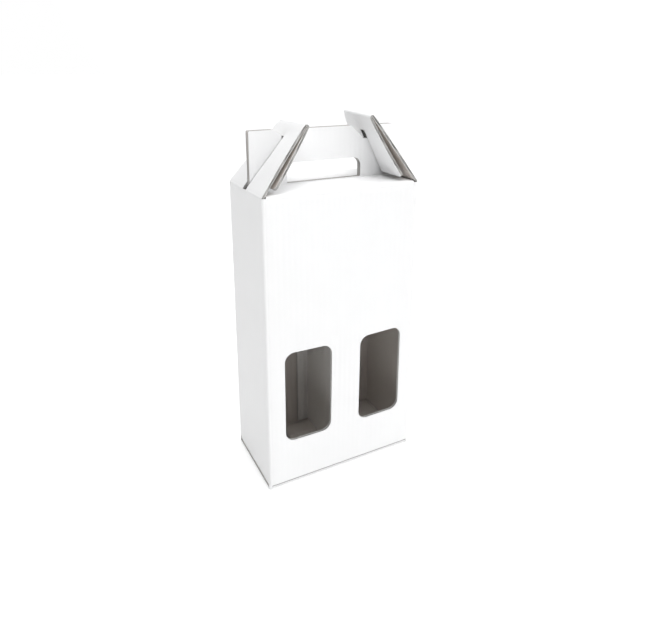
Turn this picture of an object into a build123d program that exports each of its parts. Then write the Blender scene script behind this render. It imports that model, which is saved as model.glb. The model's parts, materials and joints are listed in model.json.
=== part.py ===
from build123d import *

import os
from math import sqrt

# Upright carrying box for two bottles, folded from one sheet of corrugated board.
# The origin is the middle of the bottom. +X is to the right, +Y to the back and +Z up.
# Sizes are in millimetres.

# Board
BOARD = 3.0  # thickness of the board
BEND = 0.3  # inside radius of a creased fold
SHEET_GAP = 0.3  # left between panels that lie loose on each other

# Box body, outside
WIDTH = 186.0
DEPTH = 100.0
HEIGHT = 334.0  # from the ground to the top of the roof
JOINT_LAP = 32.0  # glued lap inside the back wall, at the right-hand corner
LAP_TAPER = 9.0  # how much lower the lap's free edge is than the wall, at each end

# Bottom
FLAP_END_RELIEF = 1.0  # how far the outer bottom flaps stay in from the side walls' outer faces
FRONT_FLAP_REACH = 6.0  # free edge of the front bottom flap, behind the middle of the box
SEAM = 0.5  # slit between the front and back bottom flaps
INNER_FLAP = 48.0  # length of each side's bottom flap, from the wall's inner face
INNER_FLAP_RELIEF = 0.7  # between a side's bottom flap and the front and back walls
INNER_FLAP_TAPER = 7.0  # how far each end of its free edge stays in from its width at the wall
TONGUE_WIDTH = 76.0
TONGUE_RAMP = 12.0  # length over which the tongue climbs over the back flap
TONGUE_LENGTH = 20.0  # flat length of the tongue past the ramp
TONGUE_SIDE_GAP = 1.5

# Windows in the front wall
WINDOW_WIDTH = 55.5
WINDOW_HEIGHT = 106.0
WINDOW_BOTTOM = 55.0  # above the ground
WINDOW_BRIDGE = 36.0  # board between the two windows
WINDOW_CORNER = 11.0

# Roof and handle panels
ROOF_END_CLEARANCE = 2.5  # between a roof panel's end and the side wall's inner face
HANDLE_RISE = 59.0  # above the roof
HANDLE_GAP = 3.6  # between the two handle panels
HOLE_WIDTH = 91.0
HOLE_BOTTOM = 1.2  # above the roof
HOLE_TOP = 23.3  # above the roof
HOLE_TOP_CORNER = 9.5
HOLE_BOTTOM_CORNER = 1.5

# Notches that the lock flaps hook into, one each side of the grip
SHOULDER_TOP = 62.0  # from the hinge line to where the grip's sloped shoulder starts
SHOULDER_FOOT = 44.5  # from the hinge line to where the shoulder ends
NOTCH_FLOOR = 42.7  # above the roof
EAR_START = 40.5  # from the hinge line to the upright inner edge of the ear
EAR_SWING_CLEARANCE = 1.0  # between the ear's rounded corner and the end of the flap's slot
CUT_CORNER = 1.5  # radius of small die-cut corners

# Lock flaps, each folded double over the ears
LOCK_LENGTH = 89.0  # from the hinge line to the outside of the ridge
RIDGE_WIDTH = 62.0  # the flap tapers to this at its ridge
LOCK_END_RELIEF = 1.0  # how far the flap's lower ends stay in from the front and back
RIDGE_BEND = 0.3  # inside radius of the fold at the ridge
RETURN_LENGTH = 72.0  # from the ridge to the free end of the inner panel
BAND = 20.5  # uncut board between the ridge and the end of the slot
SLOT_CLEARANCE = 0.7  # between the handle's faces and the slot's sides
LEAN = {"left": 50.0, "right": 56.0}  # degrees above level at which each flap has settled
SPREAD = {"left": 3.5, "right": 5.5}  # degrees that each inner panel springs away from the outer one

# Loose divider between the bottles
DIVIDER_HEIGHT = 236.0
DIVIDER_FOLD = 15.0  # from the web's middle to the end of each folded edge
DIVIDER_CLEARANCE = 0.3  # between a folded edge and the wall beside it

# Places that follow from the sizes above
MIDDLE_BEND = BEND + BOARD / 2  # fold radius at the middle of the board
OUTER_BEND = BEND + BOARD
WALL_X = (WIDTH - BOARD) / 2  # middle of the side walls' board
WALL_Y = (DEPTH - BOARD) / 2  # middle of the front and back walls' board
INNER_X = WIDTH / 2 - BOARD
INNER_Y = DEPTH / 2 - BOARD
WALL_TOP = HEIGHT - OUTER_BEND
UPPER_LAYER = BOARD + SHEET_GAP  # underside of the bottom's inner layer
INSIDE_FLOOR = UPPER_LAYER + BOARD
WALL_FOOT = UPPER_LAYER + OUTER_BEND  # where the side walls' lower folds end
ROOF_MIDDLE = HEIGHT - BOARD / 2
ROOF_END = INNER_X - ROOF_END_CLEARANCE
HANDLE_Y = (HANDLE_GAP + BOARD) / 2  # middle of each handle panel's board
HANDLE_THICKNESS = HANDLE_GAP + 2 * BOARD
HINGE_X = WALL_X
HINGE_Z = HEIGHT - BOARD / 2
SLOT_END = LOCK_LENGTH - BAND
EAR_REACH = SLOT_END - EAR_SWING_CLEARANCE  # farthest that the ear reaches from the hinge line
FOLD_LAP = 1.0  # how far a folded run is drawn into the wall that it continues
THROUGH_BOARD = 4 * BOARD  # length of a cutter that passes right through one panel


def board(plane, width, *runs):
    """Board as wide as given whose middle line follows the runs, centred on the plane."""
    line = Curve() + list(runs)
    return extrude(plane * trace(line, line_width=BOARD), width / 2, both=True)


def both_sides(shape, about):
    """The shape together with its mirror image."""
    return shape + mirror(shape, about=about)


def upright(foot, top, *corners):
    """Upright board between two heights, its plan bent round the corners."""
    plan = trace(FilletPolyline(*corners, radius=MIDDLE_BEND), line_width=BOARD)
    return extrude(Plane.XY.offset(foot) * plan, top - foot)


def walls():
    """The four walls, joined by a lap glued inside the back wall at the right-hand corner."""
    lap_y = WALL_Y - BOARD
    wrap = [(WIDTH / 2, WALL_Y), (-WALL_X, WALL_Y), (-WALL_X, -WALL_Y), (WALL_X, -WALL_Y), (WALL_X, 0)]
    lap = [(WALL_X, 0), (WALL_X, lap_y), (INNER_X - JOINT_LAP, lap_y)]
    return upright(WALL_FOOT, WALL_TOP, *wrap) + (upright(WALL_FOOT, WALL_TOP, *lap) & lap_taper())


def lap_taper():
    """Outline of the glued lap and its wall from the front, the lap's ends tapering to its free edge."""
    lap_end = INNER_X - JOINT_LAP
    outline = Polyline(
        (WIDTH / 2, WALL_FOOT),
        (WIDTH / 2, WALL_TOP),
        (INNER_X - BEND, WALL_TOP),
        (lap_end, WALL_TOP - LAP_TAPER),
        (lap_end, WALL_FOOT + LAP_TAPER),
        (INNER_X - BEND, WALL_FOOT),
        close=True,
    )
    return extrude(Plane.XZ * make_face(outline), DEPTH, both=True)


def wall_foot(free_end, plane, wall, level, width):
    """A bottom flap with the fold that joins it to the foot of its wall."""
    line = FilletPolyline((free_end, level), (wall, level), (wall, WALL_FOOT + FOLD_LAP), radius=MIDDLE_BEND)
    return board(plane, width, line)


def bottom():
    """Two inner flaps from the side walls, and outer flaps from the front and back walls."""
    outer_level = BOARD / 2
    inner_level = UPPER_LAYER + BOARD / 2
    outer_width = WIDTH - 2 * FLAP_END_RELIEF
    inner_width = 2 * (INNER_Y - INNER_FLAP_RELIEF)
    front = wall_foot(FRONT_FLAP_REACH, Plane.YZ, -WALL_Y, outer_level, outer_width)
    back = wall_foot(FRONT_FLAP_REACH + SEAM, Plane.YZ, WALL_Y, outer_level, outer_width)
    tongue_room = Pos(0, FRONT_FLAP_REACH, 0) * Box(
        TONGUE_WIDTH + 2 * TONGUE_SIDE_GAP, 2 * (TONGUE_RAMP + SEAM), THROUGH_BOARD
    )
    # Above the flaps' own fold height the walls stop at the rounded upright corners
    corner_room = Pos(0, 0, BOARD) * Box(
        WIDTH - 2 * OUTER_BEND, DEPTH, HEIGHT, align=(Align.CENTER, Align.CENTER, Align.MIN)
    )
    flat_room = Box(WIDTH, DEPTH, 2 * BOARD)
    outer = (front + (back - tongue_room)) & (corner_room + flat_room)
    inner = wall_foot(INNER_X - INNER_FLAP, Plane.XZ, WALL_X, inner_level, inner_width)
    inner &= inner_flap_taper(inner_width)
    return outer + tongue(outer_level, inner_level) + both_sides(inner, Plane.YZ)


def inner_flap_taper(width):
    """Outline of an inner bottom flap from above, narrowing from its fold to its free edge."""
    free_end = INNER_X - INNER_FLAP
    fold = INNER_X - BEND
    outline = Polyline(
        (WIDTH / 2, -width / 2),
        (WIDTH / 2, width / 2),
        (fold, width / 2),
        (free_end, width / 2 - INNER_FLAP_TAPER),
        (free_end, INNER_FLAP_TAPER - width / 2),
        (fold, -width / 2),
        close=True,
    )
    return extrude(make_face(outline), DEPTH)


def tongue(low, high):
    """Tongue of the front bottom flap, tucked in over the back flap."""
    ramp_start = FRONT_FLAP_REACH - BOARD
    ramp_end = FRONT_FLAP_REACH + TONGUE_RAMP
    line = Polyline(
        (ramp_start - TONGUE_RAMP, low), (ramp_start, low), (ramp_end, high), (ramp_end + TONGUE_LENGTH, high)
    )
    return board(Plane.YZ, TONGUE_WIDTH, line)


def windows():
    """The two rounded windows, as cutters through the front wall."""
    centre_x = (WINDOW_BRIDGE + WINDOW_WIDTH) / 2
    shape = RectangleRounded(WINDOW_WIDTH, WINDOW_HEIGHT, WINDOW_CORNER)
    front = Plane.XZ.offset(WALL_Y) * Pos(centre_x, WINDOW_BOTTOM + WINDOW_HEIGHT / 2) * shape
    return both_sides(extrude(front, THROUGH_BOARD / 2, both=True), Plane.YZ)


def handle_outline():
    """Outline of a roof and handle panel from the front: grip, notches and ears."""
    top = HEIGHT + HANDLE_RISE
    floor = HEIGHT + NOTCH_FLOOR
    foot = WALL_TOP - FOLD_LAP
    shoulder_top = HINGE_X - SHOULDER_TOP
    shoulder_foot = HINGE_X - SHOULDER_FOOT
    ear_start = HINGE_X - EAR_START
    # The ear's upper inner corner is rounded about the hinge line, so that the flap swings clear of it
    corner_low = HINGE_Z + sqrt(EAR_REACH**2 - EAR_START**2)
    corner_out = HINGE_X - sqrt(EAR_REACH**2 - (top - HINGE_Z) ** 2)
    inner_edge = Polyline(
        (0, top), (shoulder_top, top), (shoulder_foot, floor), (ear_start, floor), (ear_start, corner_low)
    )
    corner = RadiusArc(inner_edge @ 1, (corner_out, top), EAR_REACH, short_sagitta=True)
    outer_edge = Polyline(corner @ 1, (ROOF_END, top), (ROOF_END, foot), (0, foot), (0, top))
    half = make_face([inner_edge, corner, outer_edge])
    ear_tip = half.vertices().group_by(Axis.Y)[-1].sort_by(Axis.X)[-1]
    return both_sides(fillet(ear_tip, CUT_CORNER), Plane.YZ)


def hand_hole():
    """Hand hole with well rounded upper corners, as a cutter through both handle panels."""
    height = HOLE_TOP - HOLE_BOTTOM
    shape = Pos(0, HEIGHT + HOLE_BOTTOM + height / 2) * Rectangle(HOLE_WIDTH, height)
    rows = shape.vertices().group_by(Axis.Y)
    shape = fillet(rows[-1], HOLE_TOP_CORNER)
    shape = fillet(shape.vertices().group_by(Axis.Y)[0], HOLE_BOTTOM_CORNER)
    return extrude(Plane.XZ * shape, HANDLE_THICKNESS, both=True)


def roof_and_handle():
    """Front and back roof panels, each turned up at the middle into a handle panel."""
    section = FilletPolyline(
        (-WALL_Y, WALL_TOP - FOLD_LAP),
        (-WALL_Y, ROOF_MIDDLE),
        (-HANDLE_Y, ROOF_MIDDLE),
        (-HANDLE_Y, HEIGHT + HANDLE_RISE),
        radius=MIDDLE_BEND,
    )
    sheet = board(Plane.YZ, WIDTH, section)
    front = sheet & extrude(Plane.XZ * handle_outline(), DEPTH, both=True)
    return both_sides(front - hand_hole(), Plane.XZ)


def carton():
    """The whole folded sheet apart from the two lock flaps."""
    sheet = walls() - windows()
    for panel in bottom().solids() + roof_and_handle().solids():
        sheet += panel
    return sheet


def lock_flap_blank(spread):
    """A lock flap lying level, its hinge line on the Y axis and its ridge towards +X."""
    middle_bend = RIDGE_BEND + BOARD / 2
    bend_x = LOCK_LENGTH - middle_bend - BOARD / 2
    outer_panel = Line((0, 0), (bend_x, 0))
    ridge = CenterArc((bend_x, -middle_bend), middle_bend, 90, spread - 180)
    inner_run = RETURN_LENGTH - middle_bend - BOARD / 2
    inner_panel = Line(ridge @ 1, ridge @ 1 + (ridge % 1) * inner_run)
    width = DEPTH - 2 * LOCK_END_RELIEF
    sheet = board(Plane.XZ, width, outer_panel, ridge, inner_panel)
    # The lower edge is rounded about the hinge line
    sheet += extrude(Plane.XZ * Circle(BOARD / 2), width / 2, both=True)
    return (sheet & taper(width)) - slot()


def taper(width):
    """Outline of the flap from above, narrowing from the hinge line to the ridge."""
    outline = Polyline(
        (-BOARD, -width / 2),
        (0, -width / 2),
        (LOCK_LENGTH, -RIDGE_WIDTH / 2),
        (LOCK_LENGTH, RIDGE_WIDTH / 2),
        (0, width / 2),
        (-BOARD, width / 2),
        close=True,
    )
    return extrude(make_face(outline), LOCK_LENGTH, both=True)


def slot():
    """Slot through both panels of a lock flap, from beyond the hinge line to the uncut band."""
    width = HANDLE_THICKNESS + 2 * SLOT_CLEARANCE
    shape = Pos((SLOT_END - BOARD) / 2, 0) * Rectangle(SLOT_END + BOARD, width)
    shape = fillet(shape.vertices().group_by(Axis.X)[-1], CUT_CORNER)
    return extrude(shape, LOCK_LENGTH, both=True)


def lock_flap(side):
    """One side's lock flap as it has settled, shown on the left-hand hinge line."""
    return Pos(-HINGE_X, 0, HINGE_Z) * Rot(0, -LEAN[side], 0) * lock_flap_blank(SPREAD[side])


def divider():
    """Upright web across the box, its edges folded opposite ways against the front and back walls."""
    fold_y = INNER_Y - DIVIDER_CLEARANCE - BOARD / 2
    corners = [(DIVIDER_FOLD, -fold_y), (0, -fold_y), (0, fold_y), (-DIVIDER_FOLD, fold_y)]
    return upright(INSIDE_FLOOR, INSIDE_FLOOR + DIVIDER_HEIGHT, *corners)


def main():
    """Builds each piece and writes it to its own file."""
    pieces = {
        "carton": carton(),
        "left_lock_flap": lock_flap("left"),
        "right_lock_flap": mirror(lock_flap("right"), about=Plane.YZ),
        "bottle_divider": divider(),
    }
    os.makedirs("parts", exist_ok=True)
    for name, piece in pieces.items():
        export_step(piece, f"parts/{name}.step")
        print(name, "solids", len(piece.solids()), "volume", round(piece.volume), piece.bounding_box())


main()
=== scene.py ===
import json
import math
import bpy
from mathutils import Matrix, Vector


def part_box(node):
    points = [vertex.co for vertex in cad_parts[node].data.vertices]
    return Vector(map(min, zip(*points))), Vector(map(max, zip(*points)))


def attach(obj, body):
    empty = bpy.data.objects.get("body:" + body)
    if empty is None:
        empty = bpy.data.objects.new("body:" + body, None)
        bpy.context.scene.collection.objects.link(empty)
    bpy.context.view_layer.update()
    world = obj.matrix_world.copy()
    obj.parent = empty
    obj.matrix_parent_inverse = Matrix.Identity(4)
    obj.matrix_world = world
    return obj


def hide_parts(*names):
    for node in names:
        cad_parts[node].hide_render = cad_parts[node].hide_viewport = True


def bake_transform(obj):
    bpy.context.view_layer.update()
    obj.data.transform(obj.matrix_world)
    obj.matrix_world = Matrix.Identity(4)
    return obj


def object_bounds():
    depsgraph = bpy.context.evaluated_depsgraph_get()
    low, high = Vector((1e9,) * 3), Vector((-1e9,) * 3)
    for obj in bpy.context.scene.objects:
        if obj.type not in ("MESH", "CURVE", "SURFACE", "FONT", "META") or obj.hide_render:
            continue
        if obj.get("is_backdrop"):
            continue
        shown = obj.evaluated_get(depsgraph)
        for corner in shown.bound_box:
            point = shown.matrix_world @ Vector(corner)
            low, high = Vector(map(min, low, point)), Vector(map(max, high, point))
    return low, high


bl_info = {
    "name": "Bottle shipping box",
    "version": (1, 0, 0),
    "blender": (4, 5, 0),
    "location": "View3D > Sidebar > Shipping Box",
    "description": "Folds a corrugated shipping and carrying box around its measured frame",
    "category": "Add Mesh",
}

from functools import lru_cache

import bpy
from bpy.props import FloatProperty, FloatVectorProperty, PointerProperty
from bpy.types import Operator, Panel, PropertyGroup
from mathutils import Matrix, Vector, noise

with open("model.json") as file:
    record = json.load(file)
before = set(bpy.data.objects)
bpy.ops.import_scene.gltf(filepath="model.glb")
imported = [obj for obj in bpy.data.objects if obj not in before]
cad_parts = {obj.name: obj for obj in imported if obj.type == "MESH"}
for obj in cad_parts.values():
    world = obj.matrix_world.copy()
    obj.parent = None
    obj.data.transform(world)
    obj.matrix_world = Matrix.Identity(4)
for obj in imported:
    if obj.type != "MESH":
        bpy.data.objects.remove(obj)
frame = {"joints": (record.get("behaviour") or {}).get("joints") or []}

# The measured frame: its box, two of its pieces and its two hinge lines
CAD_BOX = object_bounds()
CARTON_LOW, CARTON_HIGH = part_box("carton")
DIVIDER_LOW, DIVIDER_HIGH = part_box("bottle_divider")
HINGES = {joint["child"]: joint["pos_m"] for joint in frame["joints"]}
HINGE_X = HINGES["right_lock_flap"][0]
HINGE_Z = HINGES["right_lock_flap"][2]

BLANK_MAP = "blank"
SMALLEST = 1e-7  # places on a sheet are whole numbers of this
NEAR = 20  # rows or columns that are at most so many of them apart become one
LEAST_SHARE = 0.4  # share of the thickness that a crushed board keeps at least
BOW_SHAPE = 1.3  # how flat a wall's bulge starts at its folds
FLUTE_STEPS = 11  # faces from one flute to the next
PRESSED_PART = 12  # a flute's crest goes into the liner by the liner's thickness divided by this
SHARPEST_TURN = -0.5  # cosine of the turn past which an inset corner is held back

# How far each side of the box is turned from the front, and the body that its lock flap rides on
SIDE_TURN = {"front": 0.0, "right": 90.0, "back": 180.0, "left": -90.0}
FLAP_BODY = {"left": "left_lock_flap", "right": "right_lock_flap"}

# Numbers of the straight runs in the fold of the walls and the lap
BACK_RUN, LEFT_RUN, FRONT_RUN, RIGHT_RUN, LAP_RUN = 0, 2, 4, 6, 8


def length(name, description, default):
    """A size that the sidebar shows as a length, given in metres."""
    return FloatProperty(name=name, description=description, default=default, unit="LENGTH", precision=4)


def angle(name, description, degrees):
    """An angle that the sidebar shows in degrees."""
    return FloatProperty(name=name, description=description, default=math.radians(degrees), subtype="ANGLE")


def share(name, description, default):
    """A factor from 0 to 1."""
    return FloatProperty(
        name=name, description=description, default=default, min=0.0, max=1.0, subtype="FACTOR"
    )


def colour(name, description, default):
    """A colour without alpha."""
    return FloatVectorProperty(
        name=name, description=description, default=default, size=3, min=0.0, max=1.0, subtype="COLOR"
    )


def number(name, description, default):
    """A plain number."""
    return FloatProperty(name=name, description=description, default=default)


def position(name, description, default):
    """A point in the scene, in metres."""
    return FloatVectorProperty(
        name=name, description=description, default=default, size=3, subtype="TRANSLATION"
    )


class BoardSettings(PropertyGroup):
    """The corrugated board."""

    thickness: length("Thickness", "Board, outside to outside", 2 * (CARTON_HIGH.x - HINGE_X))
    liner: length("Liner", "Thickness of each flat liner", 0.00034)
    medium: length("Medium", "Thickness of the fluted paper between the liners", 0.00022)
    pitch: length("Flute pitch", "From one flute to the next", 0.0064)
    bend: length("Bend", "Inside radius of a creased fold", 0.0003)
    recess: length("Recess", "How far the fluted paper stays in from a cut edge", 0.00025)
    crush: share("Crush", "Share of the thickness lost beside a fold", 0.14)
    crush_reach: length("Crush reach", "How far the crushed strip reaches from a fold", 0.0022)
    score: share("Score", "Share of the half thickness lost in the score line beside a fold", 0.16)
    score_width: length("Score width", "Half width of a score line", 0.0006)
    unevenness: length("Unevenness", "Height of the board's slow waves", 0.00022)
    wave_length: length("Wave length", "Distance over which the board waves", 0.055)


class BoxSettings(PropertyGroup):
    """The box body, its windows and its bottom."""

    lap: length("Glued lap", "Lap inside the back wall, at the right-hand corner", 0.032)
    lap_taper: length("Lap taper", "How much lower the lap's free edge is, at each end", 0.009)
    window_width: length("Window width", "Width of each window", 0.0555)
    window_height: length("Window height", "Height of each window", 0.1072)
    window_bottom: length("Window bottom", "Lower edge of the windows above the ground", 0.055)
    window_bridge: length("Window bridge", "Board between the windows", 0.036)
    window_corner: length("Window corner", "Radius of the windows' corners", 0.011)
    window_shift: length("Window shift", "How far right of the middle the windows' bridge is", 0.0013)
    front_bow: length("Front bow", "How far the front wall bulges", 0.0030)
    back_bow: length("Back bow", "How far the back wall bulges", 0.0015)
    side_bow: length("Side bow", "How far the side walls bulge", 0.0010)
    layer_gap: length("Layer gap", "Left between boards that lie on each other", 0.0003)
    front_reach: length("Front flap reach", "Free edge of the front bottom flap behind the middle", 0.006)
    seam: length("Seam", "Slit between the front and back bottom flaps", 0.0005)
    flap_end: length("Flap end", "How far the outer bottom flaps stay in from the sides", 0.001)
    inner_flap: length("Inner flap", "Length of each side's bottom flap", 0.048)
    inner_relief: length("Inner relief", "Between a side's bottom flap and the front and back walls", 0.0007)
    inner_taper: length("Inner taper", "How far each end of its free edge stays in", 0.007)
    tongue_width: length("Tongue width", "Width of the bottom's tongue", 0.076)
    tongue_ramp: length("Tongue ramp", "Length over which the tongue climbs", 0.012)
    tongue_length: length("Tongue length", "Flat length of the tongue", 0.020)
    tongue_gap: length("Tongue gap", "Room at each side of the tongue", 0.0015)
    bottom_score: share("Bottom score", "Share of the half thickness lost in the bottom's score lines", 0.45)
    divider_fold: length("Divider fold", "Length of each folded edge of the divider", DIVIDER_HIGH.x)
    divider_gap: length("Divider gap", "Between the divider and the front and back walls", 0.0003)


class HandleSettings(PropertyGroup):
    """The roof, the double handle and the notches that hold the lock flaps."""

    gap: length("Handle gap", "Between the two handle panels at their foot", 0.0008)
    end_gap: length("End gap", "Between a roof panel's end and the side wall", 0.0025)
    spread: length("Spread", "How far each handle panel leans out at its top", 0.0008)
    hole_width: length("Hole width", "Width of the hand hole", 0.091)
    hole_bottom: length("Hole bottom", "Lower edge of the hole above the roof", 0.0012)
    hole_top: length("Hole top", "Upper edge of the hole above the roof", 0.0233)
    hole_corner: length("Hole corner", "Radius of the hole's upper corners", 0.0095)
    cut_corner: length("Cut corner", "Radius of small die-cut corners", 0.0015)
    shoulder_top: length("Shoulder top", "From the hinge line to the shoulder's upper end", 0.062)
    shoulder_foot: length("Shoulder foot", "From the hinge line to the shoulder's lower end", 0.0465)
    notch_floor: length("Notch floor", "Floor of the notches above the roof", 0.0442)
    ear_start: length("Ear start", "From the hinge line to the ear's inner edge", 0.0405)
    ear_gap: length("Ear gap", "Between the ear's rounded corner and the end of the slot", 0.0005)
    right_notch: length("Right notch", "How much nearer to its hinge the right notch is", 0.0035)


class LockFlapSettings(PropertyGroup):
    """The two lock flaps, folded double over the handle's ears."""

    length: length("Length", "From the hinge line to the outside of the ridge", 0.089)
    ridge_width: length("Ridge width", "Width at the ridge", 0.062)
    end_relief: length("End relief", "How far the lower ends stay in from the front and back", 0.001)
    ridge_bend: length("Ridge bend", "Inside radius of the fold at the ridge", 0.0003)
    return_length: length("Return length", "From the ridge to the inner panel's free end", 0.075)
    return_corner: length("Return corner", "Radius of the inner panel's free corners", 0.004)
    band: length("Band", "Uncut board between the ridge and the slot", 0.0205)
    slot_gap: length("Slot gap", "Between the handle's faces and the slot's sides", 0.00035)
    slot_corner: length("Slot corner", "Radius of the corners at the slot's ends", 0.0004)
    fold_below: length("Fold below", "Part of the side wall that bends with the flap", 0.008)
    fold_above: length("Fold above", "Part of the flap that bends with the wall", 0.005)
    fold_radius: length("Fold radius", "Radius of the fold at the hinge line", 0.0018)
    bend_below: length("Bend below", "Length of the wall below the hinge line that bends", 0.0036)
    bend_above: length("Bend above", "Length of the flap above the hinge line that bends", 0.0040)
    left_lean: angle("Left lean", "How far above level the left flap stands", 50.0)
    right_lean: angle("Right lean", "How far above level the right flap stands", 56.0)
    left_spread: angle("Left spread", "How far the left flap's inner panel springs away", 3.5)
    right_spread: angle("Right spread", "How far the right flap's inner panel springs away", 5.5)
    left_twist: angle("Left twist", "How much more the left flap's back edge leans up", 0.0)
    right_twist: angle("Right twist", "How much more the right flap's back edge leans up", 4.0)
    curl: length("Curl", "How far each flap's panels bow between their folds", 0.0006)


class FinishSettings(PropertyGroup):
    """Colours and surface of the board."""

    outer: colour("Outer liner", "Coated white liner", (0.88, 0.882, 0.885))
    # Partly painted shade: the uncoated inner liner's own paler tone, darkened to stand in for the shade
    # inside the folded lock flaps
    inner: colour("Inner liner", "Uncoated pale liner", (0.64, 0.60, 0.565))
    cut: colour("Cut edge", "Cut edges of the liners", (0.76, 0.755, 0.745))
    fluted: colour("Fluted paper", "Fluted paper between the liners", (0.58, 0.573, 0.56))
    # Painted shade: a dark grey strip along the bottom flaps' creases stands in for the shade line at the
    # foot of the walls
    worn: colour("Worn crease", "Coated liner where the bottom's crease has rubbed it", (0.36, 0.355, 0.35))
    divider: colour("Divider", "Liner of the loose divider", (0.80, 0.79, 0.77))
    floor: colour("Floor", "Studio floor", (0.93, 0.93, 0.93))


class StageSettings(PropertyGroup):
    """Camera, floor and lights."""

    camera_place: position("Camera", "Where the camera stands", (-0.2816, -0.548, 0.4568))
    azimuth: angle("Azimuth", "How far the camera stands round to the left", 27.06)
    elevation: angle("Elevation", "How far the camera looks down", 14.52)
    roll: angle("Roll", "How far the camera is tilted", -0.11)
    lens: number("Lens", "Focal length in millimetres", 30.45)
    shift_x: number("Shift X", "Sideways shift of the picture", 0.0172)
    shift_y: number("Shift Y", "Upward shift of the picture", -0.1484)
    floor_size: length("Floor size", "Width of the studio floor", 80.0)
    floor_glow: share("Floor glow", "Light that the floor itself gives off, as a light table does", 0.14)
    surroundings: number("Surroundings", "Brightness of the room", 1.27)
    dim_side: share("Dim side", "Brightness of the room low on its left side", 0.0)
    bright_side: FloatVectorProperty(
        name="Bright side",
        description="Direction in which the room brightens",
        default=(1.2, 0.2, 0.7),
        size=3,
        subtype="XYZ",
    )
    dim_end: number("Dim end", "Where the room starts to brighten in that direction", -0.7)
    full_start: number("Full start", "Where the room reaches its full brightness", 0.6)
    light_target: position("Light target", "Point that both lights are aimed at", (0.0, 0.0, 0.2))
    key_place: position("Key light", "Where the light in front hangs", (0.15, -1.25, 1.55))
    key_size: length("Key size", "Width of the light in front", 1.1)
    key_power: number("Key power", "Power of the light in front, in watts", 0.5)
    top_place: position("Top light", "Where the light overhead hangs", (-0.35, -0.42, 1.9))
    top_size: length("Top size", "Width of the light overhead", 1.0)
    top_power: number("Top power", "Power of the light overhead, in watts", 14.0)


def whole(place):
    """A place on a sheet as a whole number."""
    return round(place / SMALLEST)


def fill_steps(places, step):
    """The places with more in between, none further apart than the step."""
    places = sorted({whole(place) * SMALLEST for place in places})
    filled = places[:1]
    for a, b in zip(places, places[1:]):
        count = max(1, math.ceil((b - a) / step))
        filled += [a + (b - a) * i / count for i in range(1, count + 1)]
    return filled


class Fold:
    """Middle line of a board: straight runs and bends in one plane, measured by length along it."""

    def __init__(self, x, y, heading):
        self.parts = []
        self.length = 0.0
        self.end = (x, y, math.radians(heading))

    def run(self, distance):
        """Goes straight on."""
        return self._add(distance, 0.0)

    def turn(self, turned, radius):
        """Bends by an angle in radians, to the left where it is above 0."""
        return self._add(abs(turned) * radius, math.copysign(1 / radius, turned))

    def _add(self, distance, curvature):
        self.parts.append((self.length, distance, curvature, self.end))
        self.length += distance
        self.end = self._along(self.parts[-1], distance)
        return self

    @staticmethod
    def _along(part, distance):
        curvature, (x, y, heading) = part[2], part[3]
        if curvature == 0.0:
            return x + distance * math.cos(heading), y + distance * math.sin(heading), heading
        turned = heading + curvature * distance
        return (
            x + (math.sin(turned) - math.sin(heading)) / curvature,
            y - (math.cos(turned) - math.cos(heading)) / curvature,
            turned,
        )

    def at(self, place):
        """Place and heading at a length along the line."""
        for part in reversed(self.parts):
            if place >= part[0]:
                return self._along(part, place - part[0])
        return self._along(self.parts[0], place)

    def span(self, part):
        """Start and end of one run or bend, by its number."""
        start, distance = self.parts[part][:2]
        return start, start + distance

    def middle(self, part):
        """Middle of one run or bend, by its number."""
        return sum(self.span(part)) / 2

    def places(self, step, board, turn_step=math.radians(15)):
        """Places along the line, close enough together to draw it and the crush beside its bends."""
        found = [0.0, self.length]
        for start, distance, curvature, _ in self.parts:
            if curvature:
                count = math.ceil(distance * abs(curvature) / turn_step)
                found += [start + distance * i / count for i in range(count + 1)]
                for away in (board.score_width, board.crush_reach):
                    found += [start - away, start - 2 * away]
                    found += [start + distance + away, start + distance + 2 * away]
        return fill_steps([place for place in found if 0.0 <= place <= self.length], step)

    def share_at(self, place, board, score):
        """Share of the thickness left at a place: the board is crushed and scored beside each bend."""
        left = 1.0
        for start, distance, curvature, _ in self.parts:
            if curvature:
                away = abs(place - start - distance / 2) - distance / 2
                left -= board.crush * math.exp(-((max(away, 0.0) / board.crush_reach) ** 2))
                left -= score * math.exp(-(((away - board.score_width) / board.score_width) ** 2))
        return max(left, LEAST_SHARE)


def rounded(corners, steps=6):
    """Closed outline through corners given as (u, v) or (u, v, radius), with arcs at the rounded ones."""
    points = []
    for i, corner in enumerate(corners):
        here = Vector(corner[:2])
        radius = corner[2] if len(corner) > 2 else 0.0
        if not radius:
            points.append(here)
            continue
        before = (Vector(corners[i - 1][:2]) - here).normalized()
        after = (Vector(corners[(i + 1) % len(corners)][:2]) - here).normalized()
        half = before.angle(after) / 2
        centre = here + (before + after).normalized() * radius / math.sin(half)
        first = here + before * radius / math.tan(half) - centre
        last = here + after * radius / math.tan(half) - centre
        sweep = first.angle_signed(last)
        for k in range(steps + 1):
            points.append(centre + Matrix.Rotation(-sweep * k / steps, 2) @ first)
    return [(point.x, point.y) for point in points]


def wound(outline, left):
    """The outline in the given winding: anticlockwise where left is true."""
    area = sum(a[0] * b[1] - b[0] * a[1] for a, b in zip(outline, outline[1:] + outline[:1]))
    return outline if (area > 0) == left else outline[::-1]


def inset(outline, distance, joins):
    """The outline moved a little to its own left, apart from the rows where the sheet runs on."""
    points = []
    for i, here in enumerate(outline):
        before, after = Vector(outline[i - 1]), Vector(outline[(i + 1) % len(outline)])
        here = Vector(here)
        first, second = (here - before).normalized(), (after - here).normalized()
        normal_in, normal_out = Vector((-first.y, first.x)), Vector((-second.y, second.x))
        turn = max(normal_in.dot(normal_out), SHARPEST_TURN)
        moved = here + (normal_in + normal_out) * distance / (1 + turn)
        joined = any(abs(here.y - join) < SMALLEST for join in joins)
        points.append((moved.x, here.y if joined else moved.y))
    return points


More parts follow.
